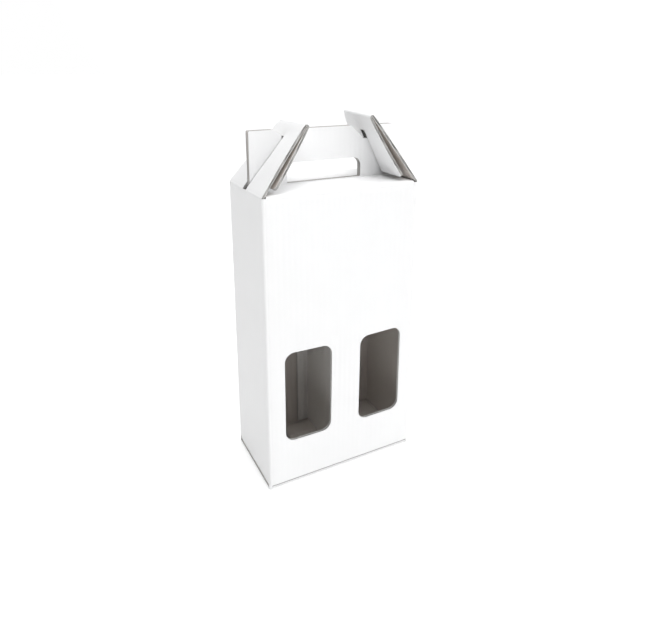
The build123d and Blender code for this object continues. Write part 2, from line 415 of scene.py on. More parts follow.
def cut_at_rows(outline, rows):
    """The outline with a corner wherever one of its sides crosses a row."""
    points = []
    for (ua, va), (ub, vb) in zip(outline, outline[1:] + outline[:1]):
        points.append((ua, va))
        if abs(ub - ua) > SMALLEST:
            crossed = [row for row in rows if min(va, vb) + SMALLEST < row < max(va, vb) - SMALLEST]
            for row in sorted(crossed, reverse=vb < va):
                points.append((ua + (ub - ua) * (row - va) / (vb - va), row))
    return points


def settled(outlines, bends):
    """The outlines and the bends, with places across the sheet that nearly meet made one place."""
    moved, first = {}, -math.inf
    for place in sorted([u for outline in outlines for u, _ in outline] + bends):
        if place - first > NEAR * SMALLEST:
            first = whole(place) * SMALLEST
        moved[place] = first
    return [[(moved[u], v) for u, v in outline] for outline in outlines], [moved[bend] for bend in bends]


def columns_through(outlines, bends, step):
    """Columns through the outlines' corners and the bends, none further apart than the step."""
    us = [u for outline in outlines for u, _ in outline]
    return fill_steps(us + [bend for bend in bends if min(us) < bend < max(us)], step)


def stretches(outlines, u0, u1):
    """What lies inside the outlines between two columns: lower and upper ends, each at u0 and u1."""
    middle = (u0 + u1) / 2
    hits = []
    for outline in outlines:
        for (ua, va), (ub, vb) in zip(outline, outline[1:] + outline[:1]):
            if min(ua, ub) < middle < max(ua, ub):
                slope = (vb - va) / (ub - ua)
                hits.append(tuple(va + slope * (u - ua) for u in (middle, u0, u1)))
    hits.sort()
    return [(low[1:], high[1:]) for low, high in zip(hits[::2], hits[1::2])]


def grid_cells(outlines, columns, rows):
    """Divides the inside of the outlines into cells. Gives the places, and each cell as place numbers."""
    found = [stretches(outlines, a, b) for a, b in zip(columns, columns[1:])]
    row_keys = [whole(row) for row in rows]
    heights = [set() for _ in columns]
    for i, strip in enumerate(found):
        for low, high in strip:
            for side in (0, 1):
                foot, top = whole(low[side]), whole(high[side])
                heights[i + side] |= {foot, top}
                heights[i + side] |= {row for row in row_keys if foot + NEAR < row < top - NEAR}
    order = [sorted(column) for column in heights]
    numbers, places = {}, []
    for i, column in enumerate(order):
        for height in column:
            numbers[i, height] = len(places)
            places.append((columns[i], height * SMALLEST))
    cells = []
    for i, strip in enumerate(found):
        for low, high in strip:
            left = [h for h in order[i] if whole(low[0]) <= h <= whole(high[0])]
            right = [h for h in order[i + 1] if whole(low[1]) <= h <= whole(high[1])]
            cuts = sorted(set(left[1:-1]) & set(right[1:-1]) & set(row_keys))
            for a, b in zip([-math.inf] + cuts, cuts + [math.inf]):
                up = [numbers[i + 1, h] for h in right if a <= h <= b]
                down = [numbers[i, h] for h in reversed(left) if a <= h <= b]
                if len(up) + len(down) > 2:
                    cells.append(up + down)
    return places, cells


class BoardMesh:
    """Gathers the sheets of one board: two liners and the fluted paper between them."""

    OUTER, INNER, CUT, FLUTED, WORN = range(5)

    def __init__(self, board, blank=(0.0, 0.0), joins=(), worn=None):
        """Takes its place on the blank, the rows where the sheet runs on, and the two rows of a crease
        painted dark as shade.
        """
        self.board, self.blank, self.joins, self.worn = board, blank, joins, worn
        self.vertices, self.faces, self.flat, self.finishes = [], [], [], []

    def add_sheet(self, outlines, columns, rows, low, high, point, finishes):
        """Adds one closed sheet between two heights, finished below, above and at its edge as given."""
        places, cells = grid_cells(outlines, columns, rows)
        start, count = len(self.vertices), len(places)
        for height in (low, high):
            for u, v in places:
                self.vertices.append(point(u, v, height(u)))
                self.flat.append((u + self.blank[0], v + self.blank[1]))
        sides = {}
        for cell in cells:
            row = sum(places[n][1] for n in cell) / len(cell)
            # Outer faces between the crease's two rows get the painted shade colour
            worn = self.worn and finishes[1] == self.OUTER and self.worn[0] < row < self.worn[1]
            self.faces.append([start + count + n for n in cell])
            self.finishes.append(self.WORN if worn else finishes[1])
            self.faces.append([start + n for n in reversed(cell)])
            self.finishes.append(finishes[0])
            for a, b in zip(cell, cell[1:] + cell[:1]):
                sides[a, b] = True
        for a, b in sides:
            if (b, a) not in sides:
                self.faces.append([start + count + b, start + count + a, start + a, start + b])
                self.finishes.append(finishes[2])

    def add_board(self, outlines, fold, point, step, folds_across=False):
        """Adds both liners and the fluted paper. The board is folded across the columns or along them."""
        board = self.board
        half = board.thickness / 2
        outlines = [wound(outline, left=i == 0) for i, outline in enumerate(outlines)]
        rows, bends = ([], fold.places(step, board)) if folds_across else (fold.places(step, board), [])
        outlines, bends = settled([cut_at_rows(outline, rows) for outline in outlines], bends)
        if folds_across:
            vs = [v for outline in outlines for _, v in outline]
            rows = fill_steps([min(vs), max(vs)], 2 * step)
        columns = columns_through(outlines, bends, step)
        liners = (
            (half - board.liner, half, (self.FLUTED, self.OUTER, self.CUT)),
            (-half, board.liner - half, (self.INNER, self.FLUTED, self.CUT)),
        )
        for low, high, finishes in liners:
            self.add_sheet(outlines, columns, rows, lambda u, w=low: w, lambda u, w=high: w, point, finishes)
        inner, bends = settled([inset(outline, board.recess, self.joins) for outline in outlines], bends)
        columns = columns_through(inner, bends, board.pitch / FLUTE_STEPS)
        # The flutes' crests are glued a little into the liners
        swing = half - board.liner - board.medium / 2 + board.liner / PRESSED_PART

        def flute(u, side):
            wave = math.sin(2 * math.pi * (u + self.blank[0]) / board.pitch)
            return swing * wave + side * board.medium / 2

        self.add_sheet(
            inner, columns, rows, lambda u: flute(u, -1), lambda u: flute(u, 1), point, (self.FLUTED,) * 3
        )

    def make(self, name, materials):
        """Makes the mesh object, with the flat blank as its map."""
        mesh = bpy.data.meshes.new(name)
        mesh.from_pydata(self.vertices, [], self.faces)
        for material in materials:
            mesh.materials.append(material)
        mesh.polygons.foreach_set("material_index", self.finishes)
        blank = mesh.uv_layers.new(name=BLANK_MAP)
        corners = [0] * len(mesh.loops)
        mesh.loops.foreach_get("vertex_index", corners)
        blank.uv.foreach_set("vector", [value for corner in corners for value in self.flat[corner]])
        mesh.shade_smooth()
        mesh.set_sharp_from_angle(angle=math.radians(40))
        mesh.validate()
        piece = bpy.data.objects.new(name, mesh)
        bpy.context.scene.collection.objects.link(piece)
        return piece


def unevenness(place, board):
    """Slow waves of the board, the same wherever two pieces of one sheet meet."""
    return board.unevenness * noise.noise(place / board.wave_length)


def upright_point(fold, lift, board):
    """Places a point of an upright board, its fold seen from above and its outside to the right."""

    def point(u, v, w):
        x, y, heading = fold.at(u)
        reach = w * fold.share_at(u, board, board.score) + lift(u, v) + unevenness(Vector((x, y, v)), board)
        return (x + reach * math.sin(heading), y - reach * math.cos(heading), v)

    return point


def section_point(fold, lift, places, side, score=None, sway=None):
    """Places a point of a board folded up or down one side of the box, its outside to the fold's left.

    The sway is how far the point is turned about the hinge line.
    """
    turn = Matrix.Rotation(math.radians(SIDE_TURN[side]), 3, "Z")
    board, walls, middle = places.board, wall_fold(places), places.side_middle(side)
    score = board.score if score is None else score
    beside = lru_cache(maxsize=None)(lambda u: 1 - walls.share_at(middle + u, board, board.score))
    along = lru_cache(maxsize=None)(lambda v: (*fold.at(v), fold.share_at(v, board, score)))
    hinge = Vector((-HINGE_X, HINGE_Z))

    def point(u, v, w):
        inward, z, heading, kept = along(v)
        # Upright stretches are crushed beside the corners, as the walls are
        kept = max(kept - beside(u) * abs(math.sin(heading)), LEAST_SHARE)
        reach = w * kept + lift(u, v) + unevenness(turn @ Vector((u, inward, z)), board)
        place = Vector((inward - reach * math.sin(heading), z + reach * math.cos(heading)))
        if sway:
            place = hinge + Matrix.Rotation(sway(u, v), 2) @ (place - hinge)
        return tuple(turn @ Vector((u, place.x, place.y)))

    return point


def no_lift(u, v):
    """No bow: the board lies on its middle line."""
    return 0.0


def flap_sway(places, side, bend=None):
    """Twist of a lock flap: it grows to the back, and along the fold's bend where one is given."""
    twist = {"left": places.flap.left_twist, "right": places.flap.right_twist}[side]
    back = 1 if side == "right" else -1

    def sway(u, v):
        grown = 1.0
        if bend:
            start, end = bend
            grown = min(max((v - start) / (end - start), 0.0), 1.0)
        return twist * grown * (1 + back * u / places.flat_y) / 2

    return sway


class Places:
    """Sizes that follow from the settings and from the measured frame."""

    def __init__(self, scene):
        self.board, self.box = scene.carton_board, scene.carton_box
        self.handle, self.flap = scene.carton_handle, scene.carton_lock_flap
        board = self.board.thickness
        self.radius = self.board.bend + board / 2
        self.wall_x = HINGE_X
        self.wall_y = CARTON_HIGH.y - board / 2
        self.roof_z = HINGE_Z
        self.roof_top = HINGE_Z + board / 2
        self.corner = self.board.bend + board
        self.wall_top = self.roof_top - self.corner
        self.inner_level = board + self.box.layer_gap + board / 2
        self.wall_foot = self.inner_level + self.radius
        self.overlap = self.flap.fold_below
        self.outer_foot = board / 2 + self.radius + self.overlap / 2
        self.roof_end = CARTON_HIGH.x - board - self.handle.end_gap
        self.handle_y = (self.handle.gap + board) / 2
        self.handle_foot = self.roof_z + self.radius
        self.flat_x = CARTON_HIGH.x - self.corner
        self.flat_y = CARTON_HIGH.y - self.corner
        self.slot_width = self.handle.gap + 2 * (self.handle.spread + board + self.flap.slot_gap)
        self.slot_end = self.flap.length - self.flap.band
        self.front_joint = self.wall_top - self.overlap
        self.side_joint = HINGE_Z - self.overlap
        self.foot_joint = self.wall_foot + self.overlap / 2
        self.corner_foot = self.box.layer_gap
        self.corner_top = HINGE_Z - self.board.bend
        self.lap_y = self.wall_y - board

    def side_middle(self, side):
        """Middle of one side's wall on the flat blank."""
        runs = {"back": BACK_RUN, "left": LEFT_RUN, "front": FRONT_RUN}
        fold = wall_fold(self)
        return fold.middle(runs[side]) if side in runs else fold.span(RIGHT_RUN)[0] + self.flat_y


def quarter(radius, left=True):
    """Angle and radius of a right-angled fold."""
    return (math.pi / 2 if left else -math.pi / 2), radius


def wall_fold(places):
    """The four walls and the glued lap from above, from the back right-hand corner."""
    r = places.radius
    fold = Fold(CARTON_HIGH.x, places.wall_y, 180)
    fold.run(CARTON_HIGH.x + places.wall_x - r).turn(*quarter(r))
    fold.run(2 * (places.wall_y - r)).turn(*quarter(r))
    fold.run(2 * (places.wall_x - r)).turn(*quarter(r))
    fold.run(places.wall_y - r + places.lap_y - r).turn(*quarter(r))
    return fold.run(places.wall_x - r - (places.wall_x - places.board.thickness / 2 - places.box.lap))


def wall_bow(fold, places):
    """Each wall bulges a little between its folds."""
    box = places.box
    bows = {
        BACK_RUN: box.back_bow,
        LEFT_RUN: box.side_bow,
        FRONT_RUN: box.front_bow,
        RIGHT_RUN: box.side_bow,
    }
    low, high = places.foot_joint, places.front_joint

    def lift(u, v):
        up = math.sin(math.pi * min(max((v - low) / (high - low), 0.0), 1.0)) ** BOW_SHAPE
        for run, bow in bows.items():
            start, end = fold.span(run)
            if start < u < end:
                return bow * up * math.sin(math.pi * (u - start) / (end - start)) ** BOW_SHAPE
        return 0.0

    return lift


def wall_edge(fold, level, notches, lap_level, taper):
    """Top or foot of the walls' blank: notches, given as start, end and level, and the tapered lap."""
    edge = [(0.0, level)]
    for start, end, notch_level in notches:
        edge += [(start, level), (start, notch_level), (end, notch_level), (end, level)]
    edge[-1] = (notches[-1][1], lap_level)
    return edge + [(fold.span(LAP_RUN)[0], lap_level), (fold.length, lap_level + taper)]


def wall_outline(fold, places):
    """The walls' blank: notches at the top and foot leave room for the folded panels there."""
    back, left, front = CARTON_HIGH.x, fold.middle(LEFT_RUN), fold.middle(FRONT_RUN)
    right_start, right_end = fold.span(RIGHT_RUN)
    tops = [
        (back - places.roof_end, back + places.roof_end, places.front_joint),
        (left - places.flat_y, left + places.flat_y, places.side_joint),
        (front - places.roof_end, front + places.roof_end, places.front_joint),
        (right_start, right_end, places.side_joint),
    ]
    feet = [
        (back - places.flat_x, back + places.flat_x, places.outer_foot),
        (left - places.flat_y, left + places.flat_y, places.foot_joint),
        (front - places.flat_x, front + places.flat_x, places.outer_foot),
        (right_start, right_end, places.foot_joint),
    ]
    taper = places.box.lap_taper
    foot_edge = wall_edge(fold, places.corner_foot, feet, places.wall_foot, taper)
    top_edge = wall_edge(fold, places.corner_top, tops, places.wall_top, -taper)
    return foot_edge + top_edge[::-1]


def window_outline(middle, box):
    """One rounded window about its middle on the blank."""
    low, high = box.window_bottom, box.window_bottom + box.window_height
    left, right = middle - box.window_width / 2, middle + box.window_width / 2
    r = box.window_corner
    return rounded([(left, low, r), (right, low, r), (right, high, r), (left, high, r)], steps=10)


def ear_outline(places, to_blank, nearer, steps=8):
    """Half of a roof and handle panel: its shoulder, notch and ear, and its end down to the fold."""
    handle, end = places.handle, places.roof_end
    top = to_blank(CARTON_HIGH.z)
    reach = places.slot_end - handle.ear_gap
    floor = to_blank(places.roof_top + handle.notch_floor)
    ear_start = handle.ear_start - nearer
    low_angle = math.acos(ear_start / reach)
    high_angle = math.asin((CARTON_HIGH.z - HINGE_Z) / reach)
    half = [(HINGE_X - handle.shoulder_top + nearer, top), (HINGE_X - handle.shoulder_foot + nearer, floor)]
    half.append((HINGE_X - ear_start, floor))
    for i in range(steps + 1):
        turned = low_angle + (high_angle - low_angle) * i / steps
        half.append((HINGE_X - reach * math.cos(turned), to_blank(HINGE_Z + reach * math.sin(turned))))
    return half + [(end, top, handle.cut_corner), (end, 0.0)]


def handle_outline(places, to_blank, right):
    """Roof and handle panel with both ears. The right-hand one is on the side given as 1 or -1."""
    near, far = (ear_outline(places, to_blank, nearer) for nearer in (places.handle.right_notch, 0.0))
    near = [(right * u, v, *radius) for u, v, *radius in near]
    far = [(-right * u, v, *radius) for u, v, *radius in far]
    return rounded(near + far[::-1])


def hole_outline(places, to_blank):
    """The hand hole, with well rounded upper corners."""
    handle = places.handle
    half, small, large = handle.hole_width / 2, handle.cut_corner, handle.hole_corner
    low, high = (to_blank(places.roof_top + level) for level in (handle.hole_bottom, handle.hole_top))
    corners = [(-half, low, small), (half, low, small), (half, high, large), (-half, high, large)]
    return rounded(corners, steps=8)


def finish_piece(piece, body, slot, *nodes):
    """Lets a piece ride on its body in the place of the CAD nodes that it stands for."""
    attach(piece, body)
    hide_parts(*nodes)


def board_finishes():
    """The carton's finishes in the order of the board mesh's faces."""
    names = ("coated_liner", "plain_liner", "cut_edge", "fluted_paper", "worn_liner")
    return [bpy.data.materials[name] for name in names]


class CARTON_OT_finishes(Operator):
    """Make the board's materials"""

    bl_idname = "carton.finishes"
    bl_label = "Finishes"

    def execute(self, context):
        finish = context.scene.carton_finish
        paper_material("coated_liner", finish.outer, rough=0.46, fibre=0.35, wash=0.00003)
        # The inner liner's tone is darkened as painted shade for the shaded insides of the folded flaps
        paper_material("plain_liner", finish.inner, rough=0.75, fibre=1.0, wash=0.00005)
        paper_material("cut_edge", finish.cut, rough=0.85, fibre=1.4, wash=0.0)
        paper_material("fluted_paper", finish.fluted, rough=0.85, fibre=1.2, wash=0.0)
        # Painted shade: dark grey for the strip along the bottom's creases
        paper_material("worn_liner", finish.worn, rough=0.7, fibre=1.4, wash=0.0)
        paper_material("divider_liner", finish.divider, rough=0.72, fibre=1.0, wash=0.00005)
        return {"FINISHED"}


def new_group(name, inputs, outputs):
    """An empty shader group with float or colour sockets and its two end nodes."""
    group = bpy.data.node_groups.new(name, "ShaderNodeTree")
    for title, kind, value in inputs:
        socket = group.interface.new_socket(name=title, in_out="INPUT", socket_type=kind)
        if value is not None:
            socket.default_value = value
    for title, kind in outputs:
        group.interface.new_socket(name=title, in_out="OUTPUT", socket_type=kind)
    return group, group.nodes.new("NodeGroupInput"), group.nodes.new("NodeGroupOutput")


def math_node(tree, operation, first, second):
    """A math node fed by sockets or plain numbers. Gives its output."""
    node = tree.nodes.new("ShaderNodeMath")
    node.operation = operation
    for socket, value in zip(node.inputs, (first, second)):
        if isinstance(value, bpy.types.NodeSocket):
            tree.links.new(value, socket)
        else:
            socket.default_value = value
    return node.outputs[0]


def blank_coordinates(tree, scale):
    """The flat blank's coordinates, scaled."""
    blank = tree.nodes.new("ShaderNodeUVMap")
    blank.uv_map = BLANK_MAP
    scaled = tree.nodes.new("ShaderNodeVectorMath")
    scaled.operation = "SCALE"
    scaled.inputs["Scale"].default_value = scale
    tree.links.new(blank.outputs[0], scaled.inputs[0])
    return scaled.outputs[0]


def noise_node(tree, scale, detail):
    """Noise over the flat blank, in waves to the metre."""
    node = tree.nodes.new("ShaderNodeTexNoise")
    node.inputs["Scale"].default_value = 1.0
    node.inputs["Detail"].default_value = detail
    tree.links.new(blank_coordinates(tree, scale), node.inputs["Vector"])
    return node.outputs["Fac"]


def paper_group():
    """Fibres, cloudiness and flute lines of paper board, as colour, roughness and height."""
    group, given, result = new_group(
        "Paper",
        [
            ("Colour", "NodeSocketColor", None),
            ("Roughness", "NodeSocketFloat", 0.6),
            ("Fibre", "NodeSocketFloat", 1.0),
            ("Flute line", "NodeSocketFloat", 0.0),
            ("Flute pitch", "NodeSocketFloat", bpy.context.scene.carton_board.pitch),
        ],
        [("Color", "NodeSocketColor"), ("Roughness", "NodeSocketFloat"), ("Height", "NodeSocketFloat")],
    )
    cloud = noise_node(group, scale=28.0, detail=3.0)
    fine = noise_node(group, scale=1900.0, detail=2.0)
    fleck = noise_node(group, scale=420.0, detail=4.0)
    cloud_shade, fleck_shade, cloud_roughness, fibre_height = 0.035, 0.04, 0.12, 0.00003
    # Colour: soft clouds and faint flecks around the given colour
    shade = math_node(group, "MULTIPLY_ADD", math_node(group, "SUBTRACT", cloud, 0.5), cloud_shade)
    shade.node.inputs[2].default_value = 1.0
    flecks = math_node(group, "MULTIPLY", math_node(group, "SUBTRACT", fleck, 0.5), given.outputs["Fibre"])
    shade = math_node(group, "ADD", shade, math_node(group, "MULTIPLY", flecks, fleck_shade))
    tint = group.nodes.new("ShaderNodeVectorMath")
    tint.operation = "SCALE"
    group.links.new(given.outputs["Colour"], tint.inputs[0])
    group.links.new(shade, tint.inputs["Scale"])
    group.links.new(tint.outputs[0], result.inputs["Color"])
    # Roughness follows the clouds
    uneven = math_node(group, "MULTIPLY", math_node(group, "SUBTRACT", cloud, 0.5), cloud_roughness)
    group.links.new(math_node(group, "ADD", given.outputs["Roughness"], uneven), result.inputs["Roughness"])
    # Height: flute lines show through the liner as shallow waves, under the fibres
    separate = group.nodes.new("ShaderNodeSeparateXYZ")
    group.links.new(blank_coordinates(group, 2 * math.pi), separate.inputs[0])
    turns = math_node(group, "DIVIDE", separate.outputs["X"], given.outputs["Flute pitch"])
    lines = math_node(group, "MULTIPLY", math_node(group, "SINE", turns, 0.0), given.outputs["Flute line"])
    fibres = math_node(group, "MULTIPLY", math_node(group, "SUBTRACT", fine, 0.5), given.outputs["Fibre"])
    height = math_node(group, "ADD", lines, math_node(group, "MULTIPLY", fibres, fibre_height))
    group.links.new(height, result.inputs["Height"])
    return group


def paper_material(name, base, rough, fibre, wash):
    """One paper finish: the group's colour, roughness and height in a plain shader."""
    material = bpy.data.materials.new(name)
    material.use_nodes = True
    tree = material.node_tree
    shader = tree.nodes["Principled BSDF"]
    shader.inputs["Specular IOR Level"].default_value = 0.35
    paper = tree.nodes.new("ShaderNodeGroup")
    paper.node_tree = bpy.data.node_groups.get("Paper") or paper_group()
    paper.inputs["Colour"].default_value = (*base, 1.0)
    paper.inputs["Roughness"].default_value = rough
    paper.inputs["Fibre"].default_value = fibre
    paper.inputs["Flute line"].default_value = wash
    paper.inputs["Flute pitch"].default_value = bpy.context.scene.carton_board.pitch
    bump = tree.nodes.new("ShaderNodeBump")
    bump.inputs["Distance"].default_value = 1.0
    tree.links.new(paper.outputs["Color"], shader.inputs["Base Color"])
    tree.links.new(paper.outputs["Roughness"], shader.inputs["Roughness"])
    tree.links.new(paper.outputs["Height"], bump.inputs["Height"])
    tree.links.new(bump.outputs["Normal"], shader.inputs["Normal"])
    material.diffuse_color = (*base, 1.0)
    return material


class CARTON_OT_walls(Operator):
    """Add the four walls with their windows and the glued lap"""

    bl_idname = "carton.walls"
    bl_label = "Walls"

    def execute(self, context):
        places = Places(context.scene)
        box = places.box
        fold = wall_fold(places)
        front = fold.middle(FRONT_RUN)
        offset = (box.window_bridge + box.window_width) / 2
        outlines = [wall_outline(fold, places)]
        outlines += [window_outline(front + box.window_shift + sign * offset, box) for sign in (-1, 1)]
        joins = (places.front_joint, places.side_joint, places.outer_foot, places.foot_joint)
        mesh = BoardMesh(places.board, joins=joins)
        point = upright_point(fold, wall_bow(fold, places), places.board)
        mesh.add_board(outlines, fold, point, step=0.007, folds_across=True)
        finish_piece(mesh.make("walls", board_finishes()), "carton", "white_board", "carton")
        return {"FINISHED"}


class CARTON_OT_roof_and_handle(Operator):
    """Add the two roof panels, each turned up into a handle panel"""

    bl_idname = "carton.roof_and_handle"
    bl_label = "Roof and handle"

    def execute(self, context):
        places = Places(context.scene)
        handle, r = places.handle, places.radius
        fold = Fold(-places.wall_y, places.front_joint, 90)
        fold.run(places.overlap).turn(*quarter(r, left=False))
        fold.run(places.wall_y - r - places.handle_y - r).turn(*quarter(r))
        handle_start = fold.length
        fold.run(CARTON_HIGH.z - places.handle_foot)

        def to_blank(z):
            return handle_start + z - places.handle_foot

        def lift(u, v):
            return handle.spread * max((v - handle_start) / (fold.length - handle_start), 0.0)

        for side, right in (("front", 1), ("back", -1)):
            outlines = [handle_outline(places, to_blank, right), hole_outline(places, to_blank)]
            mesh = BoardMesh(places.board, (places.side_middle(side), places.front_joint), (0.0,))
            mesh.add_board(outlines, fold, section_point(fold, lift, places, side), step=0.006)
            piece = mesh.make(f"{side}_roof_and_handle", board_finishes())
            finish_piece(piece, "carton", "white_board", "carton")
        return {"FINISHED"}


class CARTON_OT_bottom(Operator):
    """Add the bottom: two outer flaps with a tongue, and two inner flaps"""

    bl_idname = "carton.bottom"
    bl_label = "Bottom"

    def outer_flap(self, places, side, free_edge):
        """An outer flap from its free edge to its wall. Gives the fold."""
        r = places.radius
        fold = Fold(free_edge, places.board.thickness / 2, 180)
        fold.run(free_edge + places.wall_y - r).turn(*quarter(r, left=False))
        return fold.run(places.outer_foot - places.board.thickness / 2 - r)

    def outline(self, fold, half_free, half_flap, half_wall, notch=None):
        """A flap, narrower above its fold, with a notch in its free edge where one is given."""
        flat, narrow = fold.span(0)[1], fold.span(2)[0]
        right = [(half_free, 0.0), (half_flap, flat), (half_flap, narrow), (half_wall, narrow)]
        right.append((half_wall, fold.length))
        if notch:
            right = [(notch[0], notch[1]), (notch[0], 0.0)] + right
        return right + [(-u, v) for u, v in reversed(right)]

    def add(self, places, name, side, fold, outline, worn=False):
        """Makes one flap as a piece, which joins its wall at the end of the fold."""
        crease = fold.span(2)[0]
        # Where asked, the strip beside the crease is painted dark as shade
        rows = (crease, crease + 2 * places.board.score_width) if worn else None
        mesh = BoardMesh(places.board, (places.side_middle(side), -fold.length), (fold.length,), rows)
        point = section_point(fold, no_lift, places, side, places.box.bottom_score)
        mesh.add_board([outline], fold, point, step=0.008)
        finish_piece(mesh.make(name, board_finishes()), "carton", "white_board", "carton")

    def execute(self, context):
        places = Places(context.scene)
        box, board, r = places.box, places.board.thickness, places.radius
        half_flap = CARTON_HIGH.x - box.flap_end
        # The front flap, notched where its tongue starts to climb
        half_tongue = box.tongue_width / 2
        front = self.outer_flap(places, "front", box.front_reach)
        outline = self.outline(front, half_flap, half_flap, places.flat_x, (half_tongue, board))
        self.add(places, "front_bottom_flap", "front", front, outline, worn=True)
        # The back flap, notched for the tongue
        back = self.outer_flap(places, "back", -box.front_reach - box.seam)
        notch = (half_tongue + box.tongue_gap, box.tongue_ramp)
        outline = self.outline(back, half_flap, half_flap, places.flat_x, notch)
        self.add(places, "back_bottom_flap", "back", back, outline, worn=True)
        # The tongue climbs over the back flap
        climb = places.inner_level - board / 2
        slope = math.atan2(climb, board + box.tongue_ramp)
        tuck = board * math.tan(slope / 2)
        ramp = math.hypot(climb, board + box.tongue_ramp) - 2 * tuck
        tongue = Fold(box.front_reach + box.tongue_ramp + box.tongue_length, places.inner_level, 180)
        tongue.run(box.tongue_length - tuck).turn(slope, board).run(ramp).turn(-slope, board)
        outline = [(half_tongue * u, v * tongue.length) for u, v in ((-1, 0), (1, 0), (1, 1), (-1, 1))]
        self.add(places, "bottom_tongue", "front", tongue, outline)
        # The inner flaps
        inner_x = CARTON_HIGH.x - board
        inner_y = CARTON_HIGH.y - board - box.inner_relief
        for side in ("left", "right"):
            fold = Fold(box.inner_flap - inner_x, places.inner_level, 180)
            fold.run(box.inner_flap - inner_x + places.wall_x - r).turn(*quarter(r, left=False))
            fold.run(places.foot_joint - places.wall_foot)
            outline = self.outline(fold, inner_y - box.inner_taper, inner_y, places.flat_y)
            self.add(places, f"{side}_inner_flap", side, fold, outline)
        return {"FINISHED"}


class CARTON_OT_lock_flaps(Operator):
    """Add the two lock flaps, folded double and slotted for the ears"""

    bl_idname = "carton.lock_flaps"
    bl_label = "Lock flaps"

    def outline(self, places, fold, start, spread):
        """The slotted blank of one flap, tapering both ways from the ridge."""
        flap = places.flap
        run_end = fold.span(0)[1]
        return_start = fold.span(2)[0]
        bend = flap.ridge_bend + places.board.thickness / 2
        ridge_x = start + run_end
        return_x = ridge_x + bend * math.sin(math.pi - spread)

        def half_width(x):
            full = CARTON_HIGH.y - flap.end_relief
            return full + (flap.ridge_width / 2 - full) * x / flap.length

        end_x = return_x - (fold.length - return_start) * math.cos(spread)
        slot_half, small = places.slot_width / 2, flap.slot_corner
        slot_low = places.slot_end - start
        slot_high = return_start + (return_x - places.slot_end) / math.cos(spread)
        half = [
            (slot_half, slot_low, small),
            (slot_half, 0.0),
            (half_width(start), 0.0),
            (half_width(ridge_x), run_end),
            (half_width(return_x), return_start),
            (half_width(end_x), fold.length, flap.return_corner),
            (slot_half, fold.length),
            (slot_half, slot_high, small),
        ]
        return rounded(half + [(-u, v, *radius) for u, v, *radius in reversed(half)])

    def execute(self, context):
        places = Places(context.scene)
        flap, board = places.flap, places.board.thickness
        bend = flap.ridge_bend + board / 2
        start = flap.fold_above
        stances = (("left", flap.left_lean, flap.left_spread), ("right", flap.right_lean, flap.right_spread))
        for side, lean, spread in stances:
            inward = -HINGE_X + start * math.cos(lean)
            fold = Fold(inward, HINGE_Z + start * math.sin(lean), math.degrees(lean))
            fold.run(flap.length - bend - board / 2 - start)
            fold.turn(spread - math.pi, bend)
            fold.run(flap.return_length - bend - board / 2)
            ends = [fold.span(0), fold.span(2)]

            def lift(u, v, ends=ends):
                for low, high in ends:
                    if low < v < high and abs(u) > places.slot_width / 2:
                        return flap.curl * math.sin(math.pi * (v - low) / (high - low))
                return 0.0

            mesh = BoardMesh(places.board, (places.side_middle(side), HINGE_Z + start), (0.0,))
            point = section_point(fold, lift, places, side, sway=flap_sway(places, side))
            mesh.add_board([self.outline(places, fold, start, spread)], fold, point, step=0.006)
            body = FLAP_BODY[side]
            finish_piece(mesh.make(f"{side}_lock_flap_board", board_finishes()), body, "white_board", body)
        return {"FINISHED"}


class CARTON_OT_hinge_folds(Operator):
    """Add the creased strips that join the lock flaps to the side walls"""

    bl_idname = "carton.hinge_folds"
    bl_label = "Hinge folds"

    def execute(self, context):
        places = Places(context.scene)
        flap, r = places.flap, places.flap.fold_radius
        wall_half, flap_half = places.flat_y, CARTON_HIGH.y - flap.end_relief
        slot_half = places.slot_width / 2
        lap_side = places.lap_y - places.radius
        for side, lean in (("left", flap.left_lean), ("right", flap.right_lean)):
            turned = math.pi / 2 - lean
            tuck = r * math.tan(turned / 2)
            fold = Fold(-HINGE_X, HINGE_Z - flap.fold_below, 90)
            fold.run(flap.fold_below - tuck).turn(-turned, r).run(flap.fold_above - tuck)
            hinge = fold.middle(1)
            wide = fold.span(1)[0]
            far = lap_side if side == "right" else wall_half
            taper = (flap_half - flap.ridge_width / 2) / flap.length
            top_half = flap_half - taper * flap.fold_above
            outline = [
                (-wall_half, 0.0),
                (far, 0.0),
                (far, wide),
                (flap_half, hinge),
                (top_half, fold.length),
                (slot_half, fold.length),
                (slot_half, hinge),
                (-slot_half, hinge),
                (-slot_half, fold.length),
                (-top_half, fold.length),
                (-flap_half, hinge),
                (-wall_half, wide),
            ]
            mesh = BoardMesh(places.board, (places.side_middle(side), places.side_joint), (0.0, fold.length))
            point = section_point(fold, no_lift, places, side, sway=flap_sway(places, side, fold.span(1)))
            mesh.add_board([outline], fold, point, step=0.003)
            piece = mesh.make(f"{side}_hinge_fold", board_finishes())
            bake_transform(piece)
        return {"FINISHED"}


class CARTON_OT_divider(Operator):
    """Add the loose divider that parts the box into two cells"""

    bl_idname = "carton.divider"
    bl_label = "Divider"

    def execute(self, context):
        places = Places(context.scene)
        box, board, r = places.box, places.board.thickness, places.radius
        fold_y = CARTON_HIGH.y - board - box.divider_gap - board / 2
        fold = Fold(box.divider_fold, -fold_y, 180)
        fold.run(box.divider_fold - r).turn(*quarter(r, left=False))
        fold.run(2 * (fold_y - r)).turn(*quarter(r)).run(box.divider_fold - r)
        low, high = DIVIDER_LOW.z, DIVIDER_HIGH.z
        outline = [(0.0, low), (fold.length, low), (fold.length, high), (0.0, high)]
        mesh = BoardMesh(places.board)
        point = upright_point(fold, no_lift, places.board)
        mesh.add_board([outline], fold, point, step=0.008, folds_across=True)
        liner = bpy.data.materials["divider_liner"]
        finishes = [liner, liner] + board_finishes()[BoardMesh.CUT :]
        piece = mesh.make("divider_board", finishes)
        finish_piece(piece, "carton", "divider_board", "bottle_divider")
        return {"FINISHED"}


